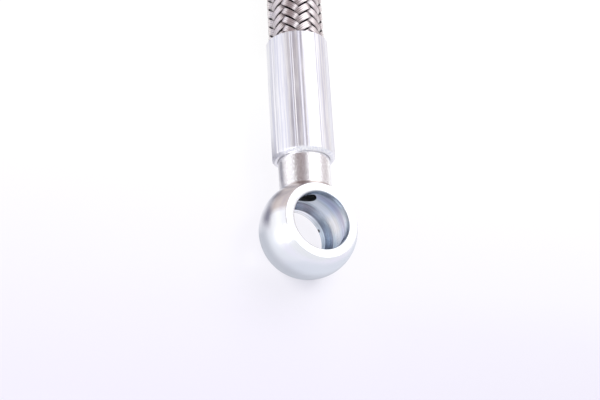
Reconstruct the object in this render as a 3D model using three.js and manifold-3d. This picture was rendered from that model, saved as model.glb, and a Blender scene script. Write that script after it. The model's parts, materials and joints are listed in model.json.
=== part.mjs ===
// Turbo oil line: a braided steel hose with a crimped banjo fitting at each end.
// Millimetres, +Z up. The line lies in a U on the ground, both fittings pointing along +Y into the
// bend, and the origin is on the ground midway between the two fittings.

import * as THREE from 'three';
import { mergeVertices } from 'three/addons/utils/BufferGeometryUtils.js';
import Module from 'manifold-3d';

const wasm = await Module();
wasm.setup();

// Banjo eye: a ball with two flats, bored through them for a hollow bolt
const ballRadius = 9.9;
const eyeWidth = 12;
const boreRadius = 6.05;
const boreChamfer = 0.3;
const landWidth = 1.85;
const grooveDepth = 1.15;
const grooveSlope = 1.3;
const passageRadius = 2.1;

// Neck and hose tail, turned in one with the ball
const neckRadius = 5.3;
const lockRadius = 4.5;
const lockWidth = 2.4;
const collarWidth = 1.5;
const tailRadius = 2.75;
const barbHeight = 0.35;
const barbCount = 4;
const barbPitch = 4.4;
const barbLength = 3.3;
const tailLength = 20;

// Crimp ferrule: pressed by eight dies, with a narrow ridge left between each two
const ferruleStart = 15.05;
const ferruleLength = 26.85;
const landRadius = 6.42;
const ridgeHeight = 0.18;
const ridgeWidth = 0.5;
const landCount = 8;
const ridgeTurn = 6;
const neckSeat = 0.6;
const ferruleChamfer = 0.5;
const mouthChamfer = 0.15;
const bellLength = 2.4;

// Hose: a rubber liner in a woven steel braid, both squeezed under the ferrules
const hoseRadius = 5.85;
const braidWall = 0.65;
const linerInner = 3.4;
const squeeze = 0.55;
const legSpacing = 130;
const sleeveLap = 0.5;
const sleeveInset = 0.05;

// Gap between pieces that touch on the real line
const clearance = 0.3;

// How finely round things are cut
const roundSides = 40;
const boreSides = 48;
const ballSteps = 16;
const landSteps = 5;
const hoseSides = 12;
const tailSides = 24;
const hoseSteps = 36;

// Places along a fitting's stem, measured from the ball's centre
const halfWidth = eyeWidth / 2;
const neckEnd = ferruleStart + neckSeat;
const lockEnd = neckEnd + lockWidth;
const collarEnd = lockEnd + collarWidth;
const tailEnd = collarEnd + tailLength;
const hoseStart = collarEnd + clearance;
const ferruleMouth = ferruleStart + ferruleLength;
const ridgeRadius = landRadius + ridgeHeight;

// Each ferrule lies along the ground, which holds the narrower eye a little above it
const stemHeight = ridgeRadius;
const eyeBack = (ballRadius - ferruleMouth) / 2;

// The hose's route between the two mouths: [x, y, z] points down one leg, round the bend and back
const hoseRoute = [
  [-64.9, 40.0, 6.55], [-64.3, 53.8, 6.15], [-62.6, 67.4, 5.92], [-59.5, 80.8, 5.9], [-54.4, 93.6, 5.9],
  [-47.2, 105.3, 5.9], [-37.8, 115.4, 5.9], [-26.5, 123.1, 5.9], [-13.6, 128.0, 5.9], [0, 129.7, 5.9],
  [13.6, 128.0, 5.9], [26.5, 123.1, 5.9], [37.8, 115.4, 5.9], [47.2, 105.3, 5.9],
  [54.4, 93.6, 5.9], [59.5, 80.8, 5.9], [62.6, 67.4, 5.92], [64.3, 53.8, 6.15], [64.9, 40.0, 6.55],
];

const steelZinc = new THREE.MeshStandardMaterial({ color: 0xb9bcbf, roughness: 0.38, metalness: 1 });
const steelBright = new THREE.MeshStandardMaterial({ color: 0xd2d3d6, roughness: 0.22, metalness: 1 });
const steelBraid = new THREE.MeshStandardMaterial({ color: 0x9b9691, roughness: 0.4, metalness: 1 });
const rubberBlack = new THREE.MeshStandardMaterial({ color: 0x1b1b1c, roughness: 0.8, metalness: 0 });

function toSolid(geometry) {
  geometry.deleteAttribute('normal');
  geometry.deleteAttribute('uv');
  const merged = mergeVertices(geometry, 1e-4);
  const mesh = new wasm.Mesh({
    numProp: 3,
    vertProperties: new Float32Array(merged.attributes.position.array),
    triVerts: new Uint32Array(merged.index.array),
  });
  return new wasm.Manifold(mesh);
}

function toMesh(name, solid, material) {
  const cut = solid.getMesh();
  const geometry = new THREE.BufferGeometry();
  geometry.setAttribute('position', new THREE.BufferAttribute(cut.vertProperties, 3));
  geometry.setIndex(new THREE.BufferAttribute(cut.triVerts, 1));
  geometry.computeVertexNormals();
  const mesh = new THREE.Mesh(geometry, material);
  mesh.name = name;
  return mesh;
}

// Turns a profile of [radius, place along the stem] points about the stem, which is the Y axis
function turned(profile, sides) {
  const points = profile.map(([radius, along]) => new THREE.Vector2(radius, along));
  return toSolid(new THREE.LatheGeometry(points, sides));
}

// The same about the bore, which is the Z axis
function boredOut(profile, sides) {
  const points = profile.map(([radius, along]) => new THREE.Vector2(radius, along));
  return toSolid(new THREE.LatheGeometry(points, sides).rotateX(Math.PI / 2));
}

// The turned blank: ball, neck, locking groove, collar and barbed tail
function eyeBlank() {
  const profile = [];
  const neckAngle = Math.asin(neckRadius / ballRadius);
  for (let step = 0; step <= ballSteps; step++) {
    const angle = Math.PI - (step / ballSteps) * (Math.PI - neckAngle);
    profile.push([ballRadius * Math.sin(angle), ballRadius * Math.cos(angle)]);
  }
  profile[0][0] = 0;
  profile.push([neckRadius, neckEnd], [lockRadius, neckEnd], [lockRadius, lockEnd]);
  profile.push([neckRadius, lockEnd], [neckRadius, collarEnd], [tailRadius, collarEnd]);
  const firstBarb = tailEnd - barbCount * barbPitch;
  for (let barb = 0; barb < barbCount; barb++) {
    const start = firstBarb + barb * barbPitch;
    profile.push([tailRadius, start], [tailRadius + barbHeight, start], [tailRadius, start + barbLength]);
  }
  profile.push([tailRadius, tailEnd], [0, tailEnd]);
  return turned(profile, roundSides);
}

// What the bolt's bore takes away: plain lands at both faces and a wide oil groove between them
function boreCutter() {
  const past = halfWidth + 1;
  const grooveEdge = halfWidth - landWidth;
  const grooveFloor = grooveEdge - grooveSlope;
  const lower = [
    [boreRadius + boreChamfer + 1, -past],
    [boreRadius, boreChamfer - halfWidth],
    [boreRadius, -grooveEdge],
    [boreRadius + grooveDepth, -grooveFloor],
  ];
  const upper = lower.map(([radius, along]) => [radius, -along]).reverse();
  return boredOut([[0, -past], ...lower, ...upper, [0, past]], boreSides);
}

function flatCutter(side) {
  const block = new THREE.BoxGeometry(2 * ballRadius + 2, 2 * ballRadius + 2, ballRadius);
  block.translate(0, 0, side * (halfWidth + ballRadius / 2));
  return toSolid(block);
}

function banjoEye() {
  const passage = turned(
    [[0, 0], [passageRadius, 0], [passageRadius, tailEnd + 1], [0, tailEnd + 1]], tailSides);
  return eyeBlank()
    .subtract(flatCutter(1))
    .subtract(flatCutter(-1))
    .subtract(boreCutter())
    .subtract(passage);
}

// Outline of the crimped ferrule: eight round lands with a narrow ridge between each two
function crimpSection() {
  const outline = [];
  const landAngle = (2 * Math.PI) / landCount;
  const ridgeAngle = ridgeWidth / ridgeRadius;
  const footAngle = (ridgeWidth + 2 * ridgeHeight) / landRadius;
  const corner = (radius, angle) => outline.push(new THREE.Vector2(radius * Math.sin(angle), radius * Math.cos(angle)));
  for (let land = 0; land < landCount; land++) {
    const ridge = THREE.MathUtils.degToRad(ridgeTurn) + land * landAngle;
    corner(ridgeRadius, ridge - ridgeAngle / 2);
    corner(ridgeRadius, ridge + ridgeAngle / 2);
    for (let step = 0; step <= landSteps; step++) {
      corner(landRadius, ridge + footAngle / 2 + (step / landSteps) * (landAngle - footAngle));
    }
  }
  return new THREE.Shape(outline.reverse());
}

function crimpFerrule() {
  const pressed = new THREE.ExtrudeGeometry(crimpSection(), { depth: ferruleLength, bevelEnabled: false });
  pressed.rotateX(Math.PI / 2).translate(0, ferruleMouth, 0);
  const past = 1;
  const endRadius = landRadius - ferruleChamfer;
  const mouthRadius = landRadius - mouthChamfer;
  const chamfers = turned([
    [0, ferruleStart - past], [endRadius - past, ferruleStart - past],
    [ridgeRadius + past, ferruleStart + ridgeRadius + past - endRadius],
    [ridgeRadius + past, ferruleMouth - (ridgeRadius + past - mouthRadius)],
    [mouthRadius - past, ferruleMouth + past], [0, ferruleMouth + past],
  ], roundSides);
  const neckHole = neckRadius + clearance;
  const lipHole = lockRadius + clearance;
  const hoseHole = hoseRadius - squeeze + clearance;
  const mouthHole = hoseRadius + clearance / 2;
  const hole = turned([
    [0, ferruleStart - past], [neckHole, ferruleStart - past], [neckHole, neckEnd + clearance],
    [lipHole, neckEnd + clearance], [lipHole, lockEnd - clearance], [hoseHole, lockEnd - clearance],
    [hoseHole, ferruleMouth - bellLength], [mouthHole, ferruleMouth], [mouthHole, ferruleMouth + past],
    [0, ferruleMouth + past],
  ], roundSides);
  return toSolid(pressed).intersect(chamfers).subtract(hole);
}

function fitting(end, x) {
  const group = new THREE.Group();
  group.add(toMesh(`banjo_eye_${end}`, banjoEye(), steelZinc));
  group.add(toMesh(`crimp_ferrule_${end}`, crimpFerrule(), steelBright));
  group.position.set(x, eyeBack, stemHeight);
  group.updateMatrixWorld();
  return group;
}

// One layer of the hose: a free run along the route, and a squeezed sleeve under each ferrule
function hoseLayer(name, outer, inner, sleeveInner, fittings, material) {
  const mouths = fittings.map((group) => group.localToWorld(new THREE.Vector3(0, ferruleMouth, 0)));
  const points = [mouths[0], ...hoseRoute.map((point) => new THREE.Vector3(...point)), mouths[1]];
  const ring = new THREE.Shape();
  const bore = new THREE.Path();
  for (let side = 0; side < hoseSides; side++) {
    const angle = (side / hoseSides) * 2 * Math.PI;
    const move = side === 0 ? 'moveTo' : 'lineTo';
    ring[move](outer * Math.cos(angle), outer * Math.sin(angle));
    bore[move](inner * Math.cos(angle), inner * Math.sin(angle));
  }
  ring.holes.push(bore);
  const run = new THREE.ExtrudeGeometry(ring, { steps: hoseSteps, extrudePath: new THREE.CatmullRomCurve3(points) });

  // The sleeve ends inside the run's wall, so the two join as one tube
  const joinOuter = outer * Math.cos(Math.PI / hoseSides) - sleeveInset;
  const joinInner = inner + sleeveInset;
  const joinEnd = ferruleMouth + sleeveLap;
  const sleeve = turned([
    [sleeveInner, hoseStart], [outer - squeeze, hoseStart], [outer - squeeze, ferruleMouth - bellLength],
    [joinOuter, ferruleMouth], [joinOuter, joinEnd], [joinInner, joinEnd],
    [joinInner, ferruleMouth], [sleeveInner, ferruleMouth - bellLength], [sleeveInner, hoseStart],
  ], tailSides);

  let tube = toSolid(run);
  for (const group of fittings) {
    tube = tube.add(sleeve.transform(group.matrixWorld.toArray()));
  }
  return toMesh(name, tube, material);
}

const line = new THREE.Group();
const fittings = [fitting('a', -legSpacing / 2), fitting('b', legSpacing / 2)];
line.add(...fittings);

const braidInner = hoseRadius - braidWall;
const linerOuter = braidInner - clearance;
line.add(hoseLayer('hose_braid', hoseRadius, braidInner, braidInner - squeeze, fittings, steelBraid));
line.add(hoseLayer('hose_liner', linerOuter, linerInner, linerInner, fittings, rubberBlack));

export default line;
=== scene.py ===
import json
import math
import random

import bmesh
import bpy
from mathutils import Matrix, Vector

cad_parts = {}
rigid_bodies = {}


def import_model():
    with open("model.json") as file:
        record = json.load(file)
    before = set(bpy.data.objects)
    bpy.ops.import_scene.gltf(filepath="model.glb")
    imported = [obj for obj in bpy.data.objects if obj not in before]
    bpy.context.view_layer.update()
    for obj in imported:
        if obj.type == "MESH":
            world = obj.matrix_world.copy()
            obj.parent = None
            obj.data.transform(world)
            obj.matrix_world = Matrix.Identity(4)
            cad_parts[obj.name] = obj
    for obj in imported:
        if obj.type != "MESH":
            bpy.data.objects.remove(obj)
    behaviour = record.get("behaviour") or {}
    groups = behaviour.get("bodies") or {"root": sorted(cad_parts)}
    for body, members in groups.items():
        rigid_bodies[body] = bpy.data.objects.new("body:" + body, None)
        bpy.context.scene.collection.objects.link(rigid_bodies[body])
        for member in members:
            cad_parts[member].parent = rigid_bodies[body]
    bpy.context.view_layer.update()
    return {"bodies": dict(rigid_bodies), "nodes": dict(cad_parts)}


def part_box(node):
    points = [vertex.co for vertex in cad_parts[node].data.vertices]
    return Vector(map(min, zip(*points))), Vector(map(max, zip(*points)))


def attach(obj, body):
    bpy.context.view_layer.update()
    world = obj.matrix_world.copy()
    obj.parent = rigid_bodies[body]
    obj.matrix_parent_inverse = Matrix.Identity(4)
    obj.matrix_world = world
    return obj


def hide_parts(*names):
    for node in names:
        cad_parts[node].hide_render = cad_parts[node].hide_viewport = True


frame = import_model()
body = list(frame["bodies"])[0]
random.seed(7)
mm = 0.001
weld = 0.0005            # mm: points closer than this become one
print("frame loaded")


def activate(obj):
    bpy.ops.object.select_all(action="DESELECT")
    obj.select_set(True)
    bpy.context.view_layer.objects.active = obj


# profile is a chain of (radius, along) points, closed or starting and ending on the axis
def spunPiece(name, profile, axis, steps):
    bpy.ops.object.select_all(action="DESELECT")
    bpy.ops.mesh.primitive_plane_add(size=1)
    obj = bpy.context.object
    obj.name = name
    alongAxis = Vector(axis)
    points = [Vector((radius, 0, 0)) + alongAxis * along for radius, along in profile]
    bpy.ops.object.mode_set(mode="EDIT")
    mesh = bmesh.from_edit_mesh(obj.data)
    mesh.verts.ensure_lookup_table()
    bmesh.ops.delete(mesh, geom=mesh.verts[1:], context="VERTS")
    mesh.verts.ensure_lookup_table()
    mesh.verts[0].co = points[0]
    mesh.verts[0].select = True
    bmesh.update_edit_mesh(obj.data)
    for start, end in zip(points, points[1:]):
        bpy.ops.mesh.extrude_region_move(TRANSFORM_OT_translate={"value": end - start})
    bpy.ops.mesh.select_all(action="SELECT")
    bpy.ops.mesh.spin(steps=steps, angle=2 * math.pi, center=(0, 0, 0), axis=axis)
    bpy.ops.mesh.select_all(action="SELECT")
    bpy.ops.mesh.remove_doubles(threshold=weld)
    bpy.ops.mesh.normals_make_consistent(inside=False)
    bpy.ops.object.mode_set(mode="OBJECT")
    return obj


def combine(obj, other, operation):
    activate(obj)
    step = obj.modifiers.new("combine", "BOOLEAN")
    step.operation = operation
    step.solver = "EXACT"
    step.object = other
    bpy.ops.object.modifier_apply(modifier=step.name)
    bpy.data.objects.remove(other, do_unlink=True)


# banjo eye, in mm, ball's centre at 0, bore along Z, stem along Y
eye = {
    "ballRadius": 9.9,
    "width": 12.0,
    "rimRound": 0.16,
    "rimDrop": 0.16,           # of rimRound: how far its outer edge lies below the face
    "boreRadius": 6.05,
    "boreChamfer": 0.3,
    "chamferSoft": 0.3,        # of boreChamfer: where its slope is broken
    "landWidth": 1.85,
    "grooveDepth": 1.15,
    "grooveSlope": 1.3,
    "passageRadius": 2.1,
    "passageFrom": 4.0,        # from the groove in the bore
    "passageBeyond": 1.0,      # to past the end of the tail
    "passageSides": 64,
    "neckRadius": 5.3,
    "neckFrom": 7.2,           # inside the ball
    "neckBevel": 0.2,
    "neckEnd": 15.65,
    "lockRadius": 4.5,
    "lockEnd": 18.05,
    "collarEnd": 19.55,
    "tailRadius": 2.75,
    "tailEnd": 39.55,
    "barbHeight": 0.35,
    "barbCount": 4,
    "barbPitch": 4.4,
    "barbShare": 0.75,         # of barbPitch: the sloping part
    "arcSteps": 30,
    "ballSides": 144,
    "stemSides": 96,
}


def ringProfile():
    half = eye["width"] / 2
    ball = eye["ballRadius"]
    bore = eye["boreRadius"]
    chamfer = eye["boreChamfer"]
    grooveEdge = half - eye["landWidth"]
    soft = eye["rimRound"]
    firstAngle = math.acos(half / ball) + soft / ball
    arc = []
    for step in range(eye["arcSteps"] + 1):
        angle = math.pi / 2 + (firstAngle - math.pi / 2) * step / eye["arcSteps"]
        arc.append((ball * math.sin(angle), ball * math.cos(angle)))
    faceRadius = math.sqrt(ball ** 2 - half ** 2)
    upper = arc + [
        (faceRadius, half - soft * eye["rimDrop"]),
        (faceRadius - soft, half),
        (bore + chamfer, half),
        (bore + chamfer * eye["chamferSoft"], half - chamfer * eye["chamferSoft"]),
        (bore, half - chamfer),
        (bore, grooveEdge),
        (bore + eye["grooveDepth"], grooveEdge - eye["grooveSlope"]),
    ]
    lower = [(radius, -along) for radius, along in reversed(upper)]
    return upper + lower


def stemProfile():
    start, bevel = eye["neckFrom"], eye["neckBevel"]
    neck, lock, tail = eye["neckRadius"], eye["lockRadius"], eye["tailRadius"]
    points = [
        (0, start), (neck - bevel, start), (neck, start + bevel), (neck, eye["neckEnd"]),
        (lock, eye["neckEnd"]), (lock, eye["lockEnd"]), (neck, eye["lockEnd"]),
        (neck, eye["collarEnd"]), (tail, eye["collarEnd"]),
    ]
    pitch = eye["barbPitch"]
    firstBarb = eye["tailEnd"] - eye["barbCount"] * pitch
    for barb in range(eye["barbCount"]):
        start = firstBarb + barb * pitch
        points += [(tail, start), (tail + eye["barbHeight"], start), (tail, start + pitch * eye["barbShare"])]
    return points + [(tail, eye["tailEnd"]), (0, eye["tailEnd"])]


def makeEye():
    ring = spunPiece("banjoEyeA", ringProfile(), (0, 0, 1), eye["ballSides"])
    stem = spunPiece("stem", stemProfile(), (0, 1, 0), eye["stemSides"])
    combine(ring, stem, "UNION")
    start = eye["passageFrom"]
    reach = eye["tailEnd"] + eye["passageBeyond"] - start
    bpy.ops.object.select_all(action="DESELECT")
    bpy.ops.mesh.primitive_cylinder_add(vertices=eye["passageSides"], radius=eye["passageRadius"],
                                        depth=reach, location=(0, start + reach / 2, 0),
                                        rotation=(math.pi / 2, 0, 0))
    drill = bpy.context.object
    activate(drill)
    bpy.ops.object.transform_apply(location=True, rotation=True, scale=True)
    combine(ring, drill, "DIFFERENCE")
    return ring


# crimped ferrule, in mm along the same stem
ferrule = {
    "start": 15.05,
    "mouth": 41.9,
    "landRadius": 6.42,
    "ridgeHeight": 0.085,
    "ridgeHalfWidth": 0.28,
    "landCount": 8,
    "ridgeTurn": 6.0,
    "ridgeSteep": 1.75,        # of a flank: ridge heights over half a ridge's width
    # shallow marks of the dies: degrees from the top, half width, height
    "dieMarks": [(-22.2, 0.48, -0.045), (-71.0, 0.50, -0.02), (22.0, 0.40, -0.02)],
    "chamfer": 0.5,
    "chamferLength": 0.45,
    "chamferDrop": 0.06,       # a last soft step from the chamfer up to the lands
    "softEnd": 0.575,
    "endRing": 1.0,            # rows of points that keep the ends crisp
    "bodyRing": 9.0,
    "mouthRing": 0.6,
    "mouthChamfer": 0.15,
    "neckHole": 5.38,
    "lipHole": 4.8,
    "lipFrom": 15.95,
    "lipTo": 17.75,
    "hoseHole": 5.6,
    "mouthHole": 6.0,
    "bellLength": 2.4,
    "sides": 480,
    "outsideFrom": 0.02,       # what lies deeper below the lands than this isn't crimped
}


# the ferrule's wall as (along, radius), from its end outside to its mouth and back through the inside
def ferruleStations():
    start, mouth = ferrule["start"], ferrule["mouth"]
    land = ferrule["landRadius"]
    bell = mouth - ferrule["bellLength"]
    return [
        (start, land - ferrule["chamfer"]),
        (start + ferrule["chamferLength"], land - ferrule["chamferDrop"]),
        (start + ferrule["softEnd"], land),
        (start + ferrule["endRing"], land),
        (start + ferrule["bodyRing"], land),
        (mouth - ferrule["bodyRing"], land),
        (mouth - ferrule["mouthRing"], land),
        (mouth - ferrule["mouthChamfer"], land),
        (mouth, land - ferrule["mouthChamfer"]),
        (mouth, ferrule["mouthHole"]),
        (bell, ferrule["hoseHole"]),
        (ferrule["lipTo"], ferrule["hoseHole"]),
        (ferrule["lipTo"], ferrule["lipHole"]),
        (ferrule["lipFrom"], ferrule["lipHole"]),
        (ferrule["lipFrom"], ferrule["neckHole"]),
        (start, ferrule["neckHole"]),
        (start, land - ferrule["chamfer"]),
    ]


# how far the crimped outline stands out at an angle from the top, in degrees
def outlineAt(angle):
    spacing = 360 / ferrule["landCount"]
    fromRidge = (angle - ferrule["ridgeTurn"] + spacing / 2) % spacing - spacing / 2
    across = abs(math.radians(fromRidge)) * ferrule["landRadius"] / ferrule["ridgeHalfWidth"]
    out = ferrule["ridgeHeight"] * max(0.0, min(1.0, ferrule["ridgeSteep"] * (1 - across)))
    for place, halfWidth, height in ferrule["dieMarks"]:
        across = abs(math.radians(angle - place)) * ferrule["landRadius"] / halfWidth
        if across < 1:
            out += height * (0.5 + 0.5 * math.cos(math.pi * across))
    return out


def makeFerrule():
    bpy.ops.object.select_all(action="DESELECT")
    stations = ferruleStations()
    firstAlong, firstRadius = stations[0]
    bpy.ops.mesh.primitive_circle_add(vertices=ferrule["sides"], radius=firstRadius, fill_type="NOTHING",
                                      location=(0, firstAlong, 0), rotation=(math.pi / 2, 0, 0))
    obj = bpy.context.object
    obj.name = "crimpFerruleA"
    activate(obj)
    bpy.ops.object.transform_apply(location=True, rotation=True, scale=True)
    bpy.ops.object.mode_set(mode="EDIT")
    bpy.ops.mesh.select_all(action="SELECT")
    for (along, radius), (nextAlong, nextRadius) in zip(stations, stations[1:]):
        bpy.ops.mesh.extrude_region_move(TRANSFORM_OT_translate={"value": (0, nextAlong - along, 0)})
        wider = nextRadius / radius
        bpy.ops.transform.resize(value=(wider, 1, wider))
    bpy.ops.mesh.select_all(action="SELECT")
    bpy.ops.mesh.remove_doubles(threshold=weld)
    bpy.ops.mesh.normals_make_consistent(inside=False)
    bpy.ops.object.mode_set(mode="OBJECT")
    for vertex in obj.data.vertices:
        radius = math.hypot(vertex.co.x, vertex.co.z)
        if radius > ferrule["landRadius"] - ferrule["outsideFrom"]:
            raised = radius + outlineAt(math.degrees(math.atan2(vertex.co.x, vertex.co.z)))
            vertex.co.x *= raised / radius
            vertex.co.z *= raised / radius
    return obj


edgeAngle = 32       # degrees: a turned edge sharper than this stays crisp


# the middle of the ball of a fitting, in metres
def eyeCentre(node):
    low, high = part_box(node)
    return Vector(((low[0] + high[0]) / 2, low[1] + eye["ballRadius"] * mm, (low[2] + high[2]) / 2))


# sets a finished mm model onto the fitting of its node, and a copy of it onto the other fitting
def placeCopies(obj, node, otherName, otherNode):
    other = obj.copy()
    other.data = obj.data.copy()
    other.name = otherName
    bpy.context.scene.collection.objects.link(other)
    for target, nodeName in ((obj, node), (other, otherNode)):
        centre = eyeCentre(nodeName.replace("crimp_ferrule", "banjo_eye"))
        target.data.transform(Matrix.Translation(centre) @ Matrix.Scale(mm, 4))
        activate(target)
        bpy.ops.object.shade_smooth_by_angle(angle=math.radians(edgeAngle))
        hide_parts(nodeName)
        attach(target, body)
    return obj, other


# hose: its route in metres, from the collar inside one ferrule to the collar inside the other
hose = {
    "radius": 0.00585,
    "squeeze": 0.00055,        # how much thinner it is under a ferrule
    "bellLength": 0.0024,      # the way on which it gets thinner
    "mouth": (-0.065, 0.0259, 0.0066),
    "stepsPerPoint": 40,
    "spacing": 0.0005,
    "route": [
        (-0.065, 0.00385, 0.0066), (-0.065, 0.0149, 0.0066), (-0.065, 0.0259, 0.0066),
        (-0.0649, 0.0400, 0.00655), (-0.0643, 0.0538, 0.00615), (-0.0626, 0.0674, 0.00592),
        (-0.0595, 0.0808, 0.0059), (-0.0544, 0.0936, 0.0059), (-0.0472, 0.1053, 0.0059),
        (-0.0378, 0.1154, 0.0059), (-0.0265, 0.1231, 0.0059), (-0.0136, 0.1280, 0.0059),
        (0.0, 0.1297, 0.0059), (0.0136, 0.1280, 0.0059), (0.0265, 0.1231, 0.0059),
        (0.0378, 0.1154, 0.0059), (0.0472, 0.1053, 0.0059), (0.0544, 0.0936, 0.0059),
        (0.0595, 0.0808, 0.0059), (0.0626, 0.0674, 0.00592), (0.0643, 0.0538, 0.00615),
        (0.0649, 0.0400, 0.00655), (0.065, 0.0259, 0.0066), (0.065, 0.0149, 0.0066),
        (0.065, 0.00385, 0.0066),
    ],
}
mouthAlong = (Vector(hose["mouth"]) - Vector(hose["route"][0])).length    # along the hose from its end


# a smooth curve through the route's points, as evenly spaced (place, tangent, side, up) frames
def routeSamples():
    points = [Vector(point) for point in hose["route"]]
    fine = []
    for index in range(len(points) - 1):
        p0 = points[max(index - 1, 0)]
        p1, p2 = points[index], points[index + 1]
        p3 = points[min(index + 2, len(points) - 1)]
        for step in range(hose["stepsPerPoint"]):
            t = step / hose["stepsPerPoint"]
            fine.append(0.5 * (2 * p1 + (p2 - p0) * t + (2 * p0 - 5 * p1 + 4 * p2 - p3) * t * t
                               + (3 * p1 - p0 - 3 * p2 + p3) * t * t * t))
    fine.append(points[-1].copy())
    lengths = [0.0]
    for before, after in zip(fine, fine[1:]):
        lengths.append(lengths[-1] + (after - before).length)
    count = round(lengths[-1] / hose["spacing"])
    frames = []
    index = 0
    for step in range(count + 1):
        goal = lengths[-1] * step / count
        while index < len(fine) - 2 and lengths[index + 1] < goal:
            index += 1
        part = (goal - lengths[index]) / max(lengths[index + 1] - lengths[index], 1e-12)
        place = fine[index].lerp(fine[index + 1], part)
        tangent = (fine[min(index + 2, len(fine) - 1)] - fine[max(index - 1, 0)]).normalized()
        side = tangent.cross(Vector((0, 0, 1))).normalized()
        frames.append((place, tangent, side, side.cross(tangent)))
    return frames, lengths[-1]


# 0 on the free hose, 1 under a ferrule
def squeezeAt(along, length):
    inside = mouthAlong - min(along, length - along)
    return max(0.0, min(1.0, inside / hose["bellLength"]))


# braid: flat ribbons of wire, each passing over two and under two of the other hand
braid = {
    "ribbonsEachWay": 12,
    "lead": 0.0250,            # one turn of a ribbon along the hose
    "ribbonWidth": 0.00134,
    "ribbonThick": 0.00020,
    "lift": 0.00024,           # how far a ribbon rises over, and dips under, the middle
    "arch": 0.15,              # of lift: how much higher it stands between two crossings
    "wires": 6,
    "crossingTurn": -47.1,     # one crossing: degrees from the top towards the other fitting
    "crossingAlong": 0.00101,  # and how far it lies outside the near ferrule's mouth
    "samples": (0, 0.5, 1, 1.35, 1.65, 2, 3, 3.35, 3.65),   # along a repeat of four crossings
    # a ribbon's section: across in half widths, outward in thicknesses
    "section": [(-1.0, -0.5), (-0.93, 0.5), (0.0, 0.62), (0.93, 0.5), (1.0, -0.5)],
    "edgeAngle": 50,
}
crossing = braid["lead"] / (2 * braid["ribbonsEachWay"])      # along the hose from one crossing to the next
crown = max(outward for across, outward in braid["section"])
weaveRadius = hose["radius"] - braid["lift"] * (1 + braid["arch"]) - braid["ribbonThick"] * crown
climb = math.atan2(2 * math.pi * weaveRadius, braid["lead"])


# +1 over, -1 under; phase counts crossings, four to a repeat, and where one hand is over the other is under
def liftAt(phase, hand):
    phase = (phase - 2 if hand > 0 else phase) % 4
    if phase <= 1:
        return 1 + braid["arch"] * math.sin(math.pi * phase)
    if phase < 2:
        return math.cos(math.pi * (phase - 1))
    if phase <= 3:
        return -1
    return -math.cos(math.pi * (phase - 3))


# crossings from the one that the braid is set by, where a ribbon has run this far along the hose
def phaseAt(along, hand, ribbon):
    return hand * (along - mouthAlong - braid["crossingAlong"]) / crossing + 2 * ribbon


# the phases at which a ribbon gets a row of points, in the order in which it runs
def phasesOf(hand, ribbon, length):
    low, high = sorted((phaseAt(0, hand, ribbon), phaseAt(length, hand, ribbon)))
    shift = 2 if hand > 0 else 0
    phases = {low, high}
    for repeat in range(math.floor(low / 4), math.ceil(high / 4) + 1):
        for sample in braid["samples"]:
            phase = 4 * repeat + sample + shift
            if low < phase < high:
                phases.add(phase)
    return sorted(phases, reverse=hand < 0)


# a row of points across a ribbon, whose width lies square to its own run on the wrapped cylinder
def ribbonRow(frames, length, phase, hand, ribbon):
    along = (phase - 2 * ribbon) * hand * crossing + mouthAlong + braid["crossingAlong"]
    along = max(0.0, min(length, along))
    where = along / length * (len(frames) - 1)
    index = min(int(where), len(frames) - 2)
    place, tangent, side, up = [a.lerp(b, where - index) for a, b in zip(frames[index], frames[index + 1])]
    angle = math.radians(braid["crossingTurn"]) + phase * math.pi / braid["ribbonsEachWay"]
    middle = weaveRadius - hose["squeeze"] * squeezeAt(along, length) + braid["lift"] * liftAt(phase, hand)
    row = []
    for across, outward in braid["section"]:
        wide = across * braid["ribbonWidth"] / 2
        turned = angle + wide * math.cos(climb) / weaveRadius
        slip = -hand * wide * math.sin(climb)
        radial = side * math.sin(turned) + up * math.cos(turned)
        row.append(place + tangent * slip + radial * (middle + braid["ribbonThick"] * outward))
    return row


def makeBraid():
    frames, length = routeSamples()
    rows = len(braid["section"])
    vertices, faces, uvs, tints = [], [], [], []
    for hand in (1, -1):
        for ribbon in range(braid["ribbonsEachWay"]):
            tint = random.random()
            base = len(vertices)
            phases = phasesOf(hand, ribbon, length)
            for phase in phases:
                vertices += ribbonRow(frames, length, phase, hand, ribbon)
            for step, ends in enumerate(zip(phases, phases[1:])):
                liftLow, liftHigh = [0.5 + 0.5 * liftAt(phase, hand) for phase in ends]
                corner = base + step * rows
                for column in range(rows):
                    following = (column + 1) % rows
                    faces.append((corner + column, corner + following,
                                  corner + rows + following, corner + rows + column))
                    uLow, uHigh = column / (rows - 1), (column + 1) / (rows - 1)
                    if column == rows - 1:
                        uLow, uHigh = 1.0, 0.0
                    uvs += [(uLow, liftLow), (uHigh, liftLow), (uHigh, liftHigh), (uLow, liftHigh)]
                    tints.append(tint)
            # the two ends
            last = base + (len(phases) - 1) * rows
            faces.append(tuple(base + column for column in reversed(range(rows))))
            faces.append(tuple(last + column for column in range(rows)))
            uvs += [(0.5, 0.0)] * (2 * rows)
            tints += [tint, tint]
    mesh = bpy.data.meshes.new("hoseBraid")
    mesh.from_pydata(vertices, [], faces)
    layer = mesh.uv_layers.new(name="ribbon")
    for loop, uv in zip(layer.data, uvs):
        loop.uv = uv
    shade = mesh.attributes.new("ribbonTint", "FLOAT", "FACE")
    shade.data.foreach_set("value", tints)
    obj = bpy.data.objects.new("hoseBraid", mesh)
    bpy.context.scene.collection.objects.link(obj)
    activate(obj)
    bpy.ops.object.mode_set(mode="EDIT")
    bpy.ops.mesh.select_all(action="SELECT")
    bpy.ops.mesh.normals_make_consistent(inside=False)
    bpy.ops.object.mode_set(mode="OBJECT")
    bpy.ops.object.shade_smooth_by_angle(angle=math.radians(braid["edgeAngle"]))
    return obj, length


# materials


# gives a socket a number or a colour, or links it to an output
def feed(links, socket, value):
    if isinstance(value, (int, float)):
        socket.default_value = value
    elif isinstance(value, tuple):
        socket.default_value = (*value, 1)
    else:
        links.new(value, socket)


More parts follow.
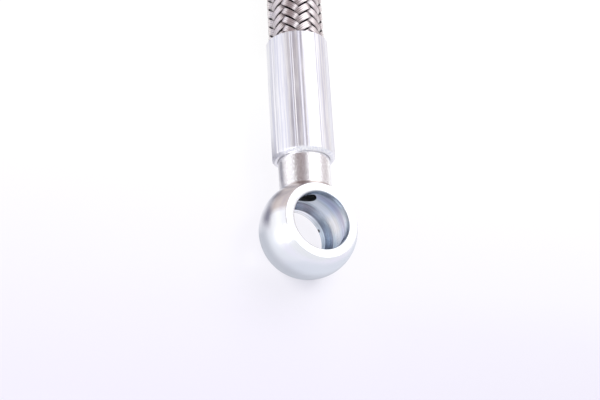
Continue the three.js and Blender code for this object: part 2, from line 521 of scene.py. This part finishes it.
def newMaterial(name):
    material = bpy.data.materials.new(name)
    material.use_nodes = True
    nodes, links = material.node_tree.nodes, material.node_tree.links
    return material, nodes, links, nodes["Principled BSDF"]


# the coordinates whole, and split into X, Y and Z
def addPlace(nodes, links, kind="Object"):
    place = nodes.new("ShaderNodeTexCoord").outputs[kind]
    split = nodes.new("ShaderNodeSeparateXYZ")
    links.new(place, split.inputs[0])
    return place, split.outputs


def addMath(nodes, links, operation, first, second=0.0):
    node = nodes.new("ShaderNodeMath")
    node.operation = operation
    feed(links, node.inputs[0], first)
    feed(links, node.inputs[1], second)
    return node.outputs[0]


def addRange(nodes, links, value, fromMin, fromMax, toMin=0.0, toMax=1.0, kind="LINEAR"):
    node = nodes.new("ShaderNodeMapRange")
    node.interpolation_type = kind
    for name, given in (("Value", value), ("From Min", fromMin), ("From Max", fromMax),
                        ("To Min", toMin), ("To Max", toMax)):
        feed(links, node.inputs[name], given)
    return node.outputs["Result"]


def addNoise(nodes, links, place, scale, detail, roughness=0.5):
    node = nodes.new("ShaderNodeTexNoise")
    for name, given in (("Vector", place), ("Scale", scale), ("Detail", detail), ("Roughness", roughness)):
        feed(links, node.inputs[name], given)
    return node.outputs["Fac"]


def distanceFrom(nodes, links, place, point):
    node = nodes.new("ShaderNodeVectorMath")
    node.operation = "DISTANCE"
    node.inputs[1].default_value = point
    links.new(place, node.inputs[0])
    return node.outputs["Value"]


def mixValues(nodes, links, factor, first, second):
    node = nodes.new("ShaderNodeMix")
    for index, value in ((0, factor), (2, first), (3, second)):
        feed(links, node.inputs[index], value)
    return node.outputs[0]


def mixColours(nodes, links, factor, first, second, kind="MIX"):
    node = nodes.new("ShaderNodeMix")
    node.data_type = "RGBA"
    node.blend_type = kind
    for index, value in ((0, factor), (6, first), (7, second)):
        feed(links, node.inputs[index], value)
    return node.outputs[2]


def multiplyColours(nodes, links, first, second):
    return mixColours(nodes, links, 1.0, first, second, "MULTIPLY")


def addRamp(nodes, links, value, stops, lowest, highest):
    node = nodes.new("ShaderNodeValToRGB")
    elements = node.color_ramp.elements
    while len(elements) < len(stops):
        elements.new(0.5)
    for element, (place, colour) in zip(elements, stops):
        element.position = (place - lowest) / (highest - lowest)
        element.color = (*colour, 1)
    links.new(value, node.inputs[0])
    return node.outputs["Color"]


def addBump(nodes, links, height, strength, distance, normal=None):
    node = nodes.new("ShaderNodeBump")
    for name, given in (("Strength", strength), ("Distance", distance), ("Height", height)):
        feed(links, node.inputs[name], given)
    if normal is not None:
        links.new(normal, node.inputs["Normal"])
    return node.outputs["Normal"]


# what all drawn and turned steel here has in common
streak = {
    "detail": 6.0,
    "roughness": 0.65,
    "cloudScale": 260.0,
    "cloudDetail": 3.0,
    "roughRange": (0.12, 0.40),    # of lines times cloud
}


# long fine lines: noise that is stretched by its scale input, clouded, and given out as three values
def streakGroup():
    group = bpy.data.node_groups.new("drawnStreaks", "ShaderNodeTree")
    group.interface.new_socket(name="Stretch", in_out="INPUT", socket_type="NodeSocketVector")
    for name in ("Fine", "Low", "High"):
        group.interface.new_socket(name=name, in_out="INPUT", socket_type="NodeSocketFloat")
    for name in ("Rough", "Shade", "Height"):
        group.interface.new_socket(name=name, in_out="OUTPUT", socket_type="NodeSocketFloat")
    nodes, links = group.nodes, group.links
    given = nodes.new("NodeGroupInput").outputs
    result = nodes.new("NodeGroupOutput").inputs
    place = nodes.new("ShaderNodeTexCoord").outputs["Object"]
    stretch = nodes.new("ShaderNodeVectorMath")
    stretch.operation = "MULTIPLY"
    links.new(place, stretch.inputs[0])
    links.new(given["Stretch"], stretch.inputs[1])
    lines = addNoise(nodes, links, stretch.outputs[0], given["Fine"], streak["detail"], streak["roughness"])
    cloud = addNoise(nodes, links, place, streak["cloudScale"], streak["cloudDetail"])
    both = addMath(nodes, links, "MULTIPLY", lines, cloud)
    rough = addRange(nodes, links, both, *streak["roughRange"], given["Low"], given["High"])
    links.new(rough, result["Rough"])
    links.new(cloud, result["Shade"])
    links.new(lines, result["Height"])
    return group


def addStreaks(nodes, group, values):
    node = nodes.new("ShaderNodeGroup")
    node.node_tree = group
    for name, value in values.items():
        node.inputs[name].default_value = value
    return node.outputs


# satin plating outside; lengths in metres from the middle of the ball
zinc = {
    "streaks": {"Stretch": (1, 1, 1), "Fine": 3200.0, "Low": 0.17, "High": 0.24},
    "bump": 0.25,
    "bumpDepth": 0.00008,
    "ball": (0.88, 0.89, 0.915),
    "ballCloud": (0.82, 0.835, 0.875),
    "brownReflectionPaint": (0.68, 0.60, 0.56),           # painted reflection: the neck's brown reflection painted on top of the ball, towards the neck
    "brownReflectionAlong": (0.0010, 0.0024),        # it fades in over these, along the stem and upward,
    "brownReflectionUp": (0.0013, 0.0031),
    "brownReflectionEnd": (0.00585, 0.00595),        # and ends at the upper flat
    "neckFrom": (0.0084, 0.0088),
    "neck": (0.95, 0.945, 0.955),
    "neckWorn": (0.85, 0.83, 0.84),
    "mottleScale": 1900.0,                 # cloudy plating on the neck
    "mottleDetail": 3.0,
    "mottleRange": (0.40, 0.60),
    "pitScale": 4000.0,                    # fine pits on the neck
    "pitDetail": 1.0,
    "pitBump": 0.8,
    "pitDepth": 0.00005,
    # a dark speck at the lower edge of the near bore: degrees round, mm above the middle, mm across
    "speck": (25.6, -5.50, 0.85),
    "speckEdge": (0.35, 0.5),              # of its width
    "dirt": (0.03, 0.03, 0.04),
}
white = (1.0, 1.0, 1.0)


def outsideColour(nodes, links, place, along, height, cloud, onNeck):
    ball = mixColours(nodes, links, cloud, zinc["ballCloud"], zinc["ball"])
    # painted reflection: a brown reflection of the neck on top of the ball, fading in towards the neck and
    # upward, up to the upper flat
    towardsNeck = addRange(nodes, links, along, *zinc["brownReflectionAlong"])
    nearTop = addRange(nodes, links, height, *zinc["brownReflectionUp"])
    belowFace = addRange(nodes, links, height, *zinc["brownReflectionEnd"], 1.0, 0.0)
    top = addMath(nodes, links, "MULTIPLY", nearTop, belowFace)
    brownReflectionPaint = addMath(nodes, links, "MULTIPLY", towardsNeck, top)
    paintedBrownReflection = mixColours(nodes, links, brownReflectionPaint, white, zinc["brownReflectionPaint"])
    mottle = addNoise(nodes, links, place, zinc["mottleScale"], zinc["mottleDetail"])
    shine = addRange(nodes, links, mottle, *zinc["mottleRange"])
    neck = mixColours(nodes, links, shine, zinc["neckWorn"], zinc["neck"])
    return mixColours(nodes, links, onNeck, multiplyColours(nodes, links, ball, paintedBrownReflection), neck)


# the turned bore with its groove
turnedBore = {
    "streaks": {"Stretch": (0.04, 0.04, 1.0), "Fine": 2600.0, "Low": 0.10, "High": 0.24},
    "lineRange": (0.40, 0.60),
    "lineShade": (0.78, 1.0),
    "wallEnd": (0.1, 0.2),                 # mm beyond the groove
    "faceEnd": (0.05, 0.01),               # mm below the flats
    # tints of the plating by height, with a painted highlight in the middle of the groove and a painted dark
    # line of shade at the lower land: mm above the middle of the eye, colour
    "tintAndPaintedLightByHeight": [(-6.0, (0.93, 0.93, 0.96)), (-4.3, (0.93, 0.95, 1.0)), (-4.1, (0.60, 0.62, 0.66)),
                    (-3.6, (0.84, 0.92, 0.96)), (-3.0, (1.0, 1.0, 1.0)), (-2.4, (1.0, 1.0, 1.0)),
                    (-0.2, (1.0, 1.0, 1.0)), (0.5, (0.90, 0.94, 1.0)), (1.1, (0.78, 0.80, 0.93)),
                    (2.2, (0.72, 0.70, 0.83)), (4.3, (0.84, 0.86, 0.92)), (5.4, (0.84, 0.87, 0.90)),
                    (6.0, (0.88, 0.89, 0.90))],
    # painted reflection round the bore, a bright crescent between darker sides: degrees from the side that
    # faces away from the other eye, colour
    "paintedReflectionRound": [(-180, (0.92, 0.92, 0.93)), (-60, (0.80, 0.81, 0.84)), (-14, (0.66, 0.71, 0.78)),
                   (3, (0.92, 0.96, 1.0)), (10, (1.0, 1.0, 1.0)), (27, (1.0, 1.0, 1.0)),
                   (43, (0.74, 0.80, 0.90)), (75, (0.60, 0.65, 0.72)), (110, (0.78, 0.79, 0.82)),
                   (180, (0.92, 0.92, 0.93))],
    # the same painted reflection for the lower slope of the groove and the land below it
    "paintedReflectionLower": [(-180, (0.90, 0.92, 0.94)), (-60, (0.80, 0.83, 0.87)), (-8, (0.62, 0.73, 0.83)),
                   (14, (0.82, 0.93, 1.0)), (38, (0.62, 0.67, 0.71)), (55, (0.84, 0.88, 0.92)),
                   (74, (1.0, 1.0, 1.0)), (110, (0.95, 0.97, 1.0)), (180, (0.90, 0.92, 0.94))],
    "lowerEnd": (-0.0031, -0.0028),
}


def boreTintAndPaintedLight(nodes, links, across, along, height, lines):
    # the plating's tint by height carries a painted highlight and a painted dark line of shade; the colour
    # round the bore is a painted reflection
    half = eye["width"] / 2
    upTheBore = addRange(nodes, links, height, -half * mm, half * mm)
    tintAndLightByHeight = addRamp(nodes, links, upTheBore, turnedBore["tintAndPaintedLightByHeight"], -half, half)
    angle = addMath(nodes, links, "ARCTAN2", along, addMath(nodes, links, "MULTIPLY", across, -1.0))
    roundTheBore = addRange(nodes, links, angle, -math.pi, math.pi)
    upper = addRamp(nodes, links, roundTheBore, turnedBore["paintedReflectionRound"], -180, 180)
    lower = addRamp(nodes, links, roundTheBore, turnedBore["paintedReflectionLower"], -180, 180)
    paintedReflectionByAngle = mixColours(nodes, links, addRange(nodes, links, height, *turnedBore["lowerEnd"]), lower, upper)
    shade = addRange(nodes, links, lines, *turnedBore["lineRange"], *turnedBore["lineShade"])
    return multiplyColours(nodes, links, multiplyColours(nodes, links, tintAndLightByHeight, paintedReflectionByAngle), shade)


# 1 on the wall of the bore and in its groove, 0 outside
def boreShare(nodes, links, across, along, height):
    squares = [addMath(nodes, links, "MULTIPLY", value, value) for value in (across, along)]
    fromAxis = addMath(nodes, links, "SQRT", addMath(nodes, links, "ADD", *squares))
    deepest = eye["boreRadius"] + eye["grooveDepth"]
    wallEnds = [(deepest + beyond) * mm for beyond in turnedBore["wallEnd"]]
    faceEnds = [(eye["width"] / 2 - below) * mm for below in turnedBore["faceEnd"]]
    inside = addRange(nodes, links, fromAxis, *wallEnds, 1.0, 0.0)
    fromMiddle = addMath(nodes, links, "ABSOLUTE", height)
    return addMath(nodes, links, "MULTIPLY", inside, addRange(nodes, links, fromMiddle, *faceEnds, 1.0, 0.0))


def speckShare(nodes, links, place):
    turn, above, size = zinc["speck"]
    angle = math.radians(turn)
    point = Vector((eye["boreRadius"] * math.cos(angle), eye["boreRadius"] * math.sin(angle), above)) * mm
    edges = [size * mm * share for share in zinc["speckEdge"]]
    return addRange(nodes, links, distanceFrom(nodes, links, place, ballCentre + point), *edges, 1.0, 0.0)


# satin zinc outside with a painted brown reflection on top of the ball, turned and tinted in the bore with
# painted highlights, reflections and shade, a little worn on the neck
def zincMaterial(streaks):
    material, nodes, links, shader = newMaterial("satinZinc")
    satin = addStreaks(nodes, streaks, zinc["streaks"])
    turned = addStreaks(nodes, streaks, turnedBore["streaks"])
    place, split = addPlace(nodes, links)
    # both eyes stand the same way, at the same distance from the middle of the line
    sideways = addMath(nodes, links, "ABSOLUTE", split["X"])
    across = addMath(nodes, links, "SUBTRACT", sideways, abs(ballCentre.x))
    along = addMath(nodes, links, "SUBTRACT", split["Y"], ballCentre.y)
    height = addMath(nodes, links, "SUBTRACT", split["Z"], ballCentre.z)
    inBore = boreShare(nodes, links, across, along, height)
    onNeck = addRange(nodes, links, along, *zinc["neckFrom"])
    outside = outsideColour(nodes, links, place, along, height, satin["Shade"], onNeck)
    boreTintAndReflection = boreTintAndPaintedLight(nodes, links, across, along, height, turned["Height"])
    clean = mixColours(nodes, links, inBore, outside, boreTintAndReflection)
    colour = mixColours(nodes, links, speckShare(nodes, links, place), clean, zinc["dirt"])
    rough = mixValues(nodes, links, inBore, satin["Rough"], turned["Rough"])
    grain = mixValues(nodes, links, inBore, satin["Height"], turned["Height"])
    skin = addBump(nodes, links, grain, zinc["bump"], zinc["bumpDepth"])
    pits = addNoise(nodes, links, place, zinc["pitScale"], zinc["pitDetail"])
    pits = addMath(nodes, links, "MULTIPLY", pits, onNeck)
    shader.inputs["Metallic"].default_value = 1.0
    links.new(colour, shader.inputs["Base Color"])
    links.new(rough, shader.inputs["Roughness"])
    links.new(addBump(nodes, links, pits, zinc["pitBump"], zinc["pitDepth"], skin), shader.inputs["Normal"])
    return material


plated = {
    "streaks": {"Stretch": (1.0, 0.02, 1.0), "Fine": 2600.0, "Low": 0.28, "High": 0.46},
    "bright": (0.96, 0.955, 0.97),
    "dull": (0.76, 0.765, 0.85),
    "lineRange": (0.42, 0.57),
    "metal": 0.84,
    "bump": 0.3,
    "bumpDepth": 0.00004,
}


def ferruleMaterial(streaks):
    material, nodes, links, shader = newMaterial("brightPlated")
    drawn = addStreaks(nodes, streaks, plated["streaks"])
    lines = addRange(nodes, links, drawn["Height"], *plated["lineRange"])
    colour = mixColours(nodes, links, lines, plated["dull"], plated["bright"])
    bump = addBump(nodes, links, drawn["Height"], plated["bump"], plated["bumpDepth"])
    shader.inputs["Metallic"].default_value = plated["metal"]
    links.new(colour, shader.inputs["Base Color"])
    links.new(drawn["Rough"], shader.inputs["Roughness"])
    links.new(bump, shader.inputs["Normal"])
    return material


wire = {
    "bright": (0.86, 0.81, 0.835),
    "wireGapShade": (0.49, 0.43, 0.42),           # painted shade between two wires
    "wireGapShadeEnd": 0.5,                       # of a wire's height
    "underShade": (0.055, 0.045, 0.058),         # painted shade where a ribbon dips under the others
    "underShadeRange": (0.15, 0.95),             # of its lift
    "dullest": (0.86, 0.84, 0.82),         # the dullest ribbon
    "rough": 0.25,
    "bump": 0.3,
    "bumpDepth": 0.00006,
}


def braidMaterial():
    material, nodes, links, shader = newMaterial("braidedWire")
    uv = nodes.new("ShaderNodeUVMap")
    uv.uv_map = "ribbon"
    split = nodes.new("ShaderNodeSeparateXYZ")
    links.new(uv.outputs["UV"], split.inputs[0])
    turns = addMath(nodes, links, "MULTIPLY", split.outputs["X"], math.pi * braid["wires"])
    wireTop = addMath(nodes, links, "ABSOLUTE", addMath(nodes, links, "SINE", turns))
    # painted shade in the creases between wires
    fade = addRange(nodes, links, wireTop, 0.0, wire["wireGapShadeEnd"])
    colour = mixColours(nodes, links, fade, wire["wireGapShade"], wire["bright"])
    # painted shade: a ribbon turns dark where it dips under the others
    over = addRange(nodes, links, split.outputs["Y"], *wire["underShadeRange"], kind="SMOOTHSTEP")
    shaded = mixColours(nodes, links, over, wire["underShade"], colour)
    tint = nodes.new("ShaderNodeAttribute")
    tint.attribute_name = "ribbonTint"
    ribbons = mixColours(nodes, links, tint.outputs["Fac"], wire["dullest"], white)
    shader.inputs["Metallic"].default_value = 1.0
    shader.inputs["Roughness"].default_value = wire["rough"]
    links.new(multiplyColours(nodes, links, shaded, ribbons), shader.inputs["Base Color"])
    links.new(addBump(nodes, links, wireTop, wire["bump"], wire["bumpDepth"]), shader.inputs["Normal"])
    return material


rubber = {
    "dark": (0.012, 0.011, 0.011),
    "pale": (0.03, 0.028, 0.027),
    "rough": 0.7,
    "grainScale": 2500.0,
    "grainDetail": 2.0,
}


def rubberMaterial():
    material, nodes, links, shader = newMaterial("linerRubber")
    place = nodes.new("ShaderNodeTexCoord").outputs["Object"]
    grain = addNoise(nodes, links, place, rubber["grainScale"], rubber["grainDetail"])
    shader.inputs["Roughness"].default_value = rubber["rough"]
    links.new(mixColours(nodes, links, grain, rubber["dark"], rubber["pale"]), shader.inputs["Base Color"])
    return material


def dress(obj, material):
    obj.data.materials.clear()
    obj.data.materials.append(material)


# camera: where the ball of the near fitting stands in the picture, and from where it is seen
camera = {
    "distance": 0.300,
    "azimuth": -49.06,
    "elevation": 54.43,
    "roll": 51.30,
    "ballRight": 0.001637,      # from the middle of the picture, at the ball's distance
    "ballUp": -0.006068,
    "lens": 90.15,
    "sensor": 36.0,
    "clipStart": 0.01,
}

azimuth, elevation, roll = [math.radians(camera[name]) for name in ("azimuth", "elevation", "roll")]
back = Vector((math.sin(azimuth) * math.cos(elevation), -math.cos(azimuth) * math.cos(elevation),
               math.sin(elevation)))
level = Vector((0, 0, 1)).cross(back).normalized()
right = level * math.cos(roll) + back.cross(level) * math.sin(roll)
upward = back.cross(right)
ballCentre = eyeCentre("banjo_eye_a")
bpy.ops.object.camera_add()
view = bpy.context.object
view.name = "camera"
view.matrix_world = Matrix.Translation(
    ballCentre - right * camera["ballRight"] - upward * camera["ballUp"] + back * camera["distance"]
) @ Matrix((right, upward, back)).transposed().to_4x4()
view.data.sensor_width = camera["sensor"]
view.data.lens = camera["lens"]
view.data.clip_start = camera["clipStart"]
bpy.context.scene.camera = view
print("camera placed")

braidPiece, hoseLength = makeBraid()
print("braid woven,", round(hoseLength, 4), "m,", len(braidPiece.data.polygons), "faces")

eyeA, eyeB = placeCopies(makeEye(), "banjo_eye_a", "banjoEyeB", "banjo_eye_b")
print("eyes turned and drilled,", len(eyeA.data.polygons), "faces")
ferruleA, ferruleB = placeCopies(makeFerrule(), "crimp_ferrule_a", "crimpFerruleB", "crimp_ferrule_b")
print("ferrules crimped,", len(ferruleA.data.polygons), "faces")

streaks = streakGroup()
zincFinish = zincMaterial(streaks)
platedFinish = ferruleMaterial(streaks)
for piece in (eyeA, eyeB):
    dress(piece, zincFinish)
for piece in (ferruleA, ferruleB):
    dress(piece, platedFinish)
dress(braidPiece, braidMaterial())
liner = frame["nodes"]["hose_liner"]
liner.data.materials.clear()
liner.data.materials.append(rubberMaterial())
print("finishes made")

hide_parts("hose_braid")
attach(braidPiece, body)

# floor, room and lamps
studio = {
    "floorSize": 6.0,
    "floorRough": 0.35,
    "paperNear": (0.865, 0.84, 0.945),
    "paperFar": (1.0, 1.0, 1.0),
    "nearToFar": (-0.05, 0.02),
    "litNear": 0.70,             # how much of the floor's brightness takes shadows, in front of the ball
    "litFar": 0.07,              # and by the hose
    "litRange": (-0.032, -0.022),
    "contact": (-0.0615, -0.0240),   # where the ball comes nearest to the floor, and the shadow is deepest
    "contactShare": 0.85,
    "contactReach": 0.009,
    # painted reflections that only metal sees on the floor: across, along, colour; the dark ones are painted
    # shade left of the fitting and before the ball, the bright ones painted highlights, and one a painted
    # shadow by the ball's lowest edge
    "paintedReflections": [((-0.087, -0.0765), (-0.0135, -0.0025), (0.24, 0.235, 0.30)),
              ((-0.0768, -0.0713), (-0.0050, 0.004), (0.14, 0.14, 0.20)),
              ((-0.0845, -0.0785), (-0.0025, 0.006), (0.86, 0.84, 0.87)),
              ((-0.1600, -0.0870), (0.001, 0.024), (1.13, 1.13, 1.14)),
              ((-0.0815, -0.0765), (0.005, 0.042), (0.48, 0.49, 0.61)),
              ((-0.069, -0.055), (-0.0275, -0.022), (0.35, 0.37, 0.42)),
              ((-0.60, -0.0905), (0.026, 0.09), (0.77, 0.775, 0.90)),
              ((-0.30, -0.091), (-0.040, -0.004), (1.0, 1.0, 1.0)),
              ((-0.091, -0.076), (-0.10, -0.0165), (0.86, 0.88, 0.93)),
              ((-0.076, -0.030), (-0.10, -0.028), (0.76, 0.79, 0.86)),
              ((-0.056, -0.035), (-0.030, -0.012), (0.76, 0.79, 0.86))],
    # a painted shadow on the floor under the ball, seen only in metal, and how far it reaches
    "paintedShadowUnderBall": (0.60, 0.62, 0.68),
    "paintedShadowReach": 0.0155,
    "soft": 0.003,               # half the width of a soft edge
    # the room round the stem: degrees from overhead towards the other fitting, colour
    "room": [(-90, (1.10, 1.09, 1.12)), (-74, (1.10, 1.09, 1.12)), (-66, (0.375, 0.32, 0.33)),
             (-30, (0.375, 0.32, 0.33)), (-16, (0.54, 0.505, 0.545)), (-7, (0.79, 0.77, 0.81)),
             (1, (1.05, 1.04, 1.07)), (47, (1.05, 1.04, 1.07)), (58, (0.78, 0.73, 0.75)),
             (90, (0.78, 0.73, 0.75))],
    "front": (0.93, 0.94, 0.96),   # and what lies before the ball
    "frontRange": (-0.15, 0.2),
}

bpy.ops.object.select_all(action="DESELECT")
bpy.ops.mesh.primitive_plane_add(size=studio["floorSize"], location=(0, 0, 0))
floor = bpy.context.object
floor.name = "floor"
paper, nodes, links, shader = newMaterial("paper")
shader.inputs["Roughness"].default_value = studio["floorRough"]
place, split = addPlace(nodes, links)
path = nodes.new("ShaderNodeLightPath").outputs
# the paper's shade, a little darker in front
far = addRange(nodes, links, split["Y"], *studio["nearToFar"])
colour = mixColours(nodes, links, far, studio["paperNear"], studio["paperFar"])
# what metal alone sees: the painted reflections, and a painted shadow under the ball
soft = studio["soft"]
for across, along, tint in studio["paintedReflections"]:
    inside = path["Is Glossy Ray"]
    for axis, (low, high) in (("X", across), ("Y", along)):
        for edge, sign in ((low, 1), (high, -1)):
            side = addRange(nodes, links, split[axis], edge - sign * soft, edge + sign * soft)
            inside = addMath(nodes, links, "MULTIPLY", side, inside)
    colour = mixColours(nodes, links, inside, colour, tint)
# painted shadow under the ball, seen only in metal
fromBall = distanceFrom(nodes, links, place, (ballCentre.x, ballCentre.y, 0))
reach = studio["paintedShadowReach"]
under = addRange(nodes, links, fromBall, reach - soft, reach + soft, 1.0, 0.0)
inFront = addRange(nodes, links, split["Y"], ballCentre.y, ballCentre.y + soft, 1.0, 0.0)
under = addMath(nodes, links, "MULTIPLY", under, inFront)
under = addMath(nodes, links, "MULTIPLY", under, path["Is Glossy Ray"])
colour = mixColours(nodes, links, under, colour, studio["paintedShadowUnderBall"])
# one share of the shade takes shadows, and the rest glows evenly
litShare = addRange(nodes, links, split["Y"], *studio["litRange"], studio["litNear"], studio["litFar"])
fromContact = distanceFrom(nodes, links, place, (*studio["contact"], 0))
contactShare = addRange(nodes, links, fromContact, 0.0, studio["contactReach"], studio["contactShare"], 0.0)
litShare = addMath(nodes, links, "MAXIMUM", litShare, contactShare)
emitted = addMath(nodes, links, "SUBTRACT", 1.0, litShare)
for name, share in (("Base Color", litShare), ("Emission Color", emitted)):
    scaled = nodes.new("ShaderNodeVectorMath")
    scaled.operation = "SCALE"
    links.new(colour, scaled.inputs[0])
    links.new(share, scaled.inputs["Scale"])
    links.new(scaled.outputs[0], shader.inputs[name])
seen = addMath(nodes, links, "MAXIMUM", path["Is Camera Ray"], path["Is Glossy Ray"])
links.new(seen, shader.inputs["Emission Strength"])
floor.data.materials.append(paper)

room = bpy.data.worlds.new("studio")
bpy.context.scene.world = room
room.use_nodes = True
nodes, links = room.node_tree.nodes, room.node_tree.links
split = addPlace(nodes, links, "Generated")[1]
turn = addMath(nodes, links, "ARCTAN2", split["X"], split["Z"])
bands = addRange(nodes, links, turn, -math.pi / 2, math.pi / 2)
bandTint = addRamp(nodes, links, bands, studio["room"], -90, 90)
along = addRange(nodes, links, split["Y"], *studio["frontRange"])
background = nodes["Background"]
links.new(mixColours(nodes, links, along, studio["front"], bandTint), background.inputs["Color"])
background.inputs["Strength"].default_value = 1.0


def softbox(name, direction, distance, size, power):
    bpy.ops.object.light_add(type="AREA")
    lamp = bpy.context.object
    lamp.name = name
    lamp.data.shape = "RECTANGLE"
    lamp.data.size, lamp.data.size_y = size
    lamp.data.energy = power
    towards = Vector(direction).normalized()
    lamp.location = ballCentre + towards * distance
    lamp.rotation_euler = towards.to_track_quat("Z", "Y").to_euler()


softbox("overhead", direction=(0.24, 0.38, 0.89), distance=0.6, size=(0.44, 0.8), power=0.7)
softbox("left", direction=(-1.0, -0.30, 0.20), distance=0.5, size=(0.22, 0.5), power=0.7)

bpy.context.scene.view_settings.view_transform = "Standard"
print("studio lit")
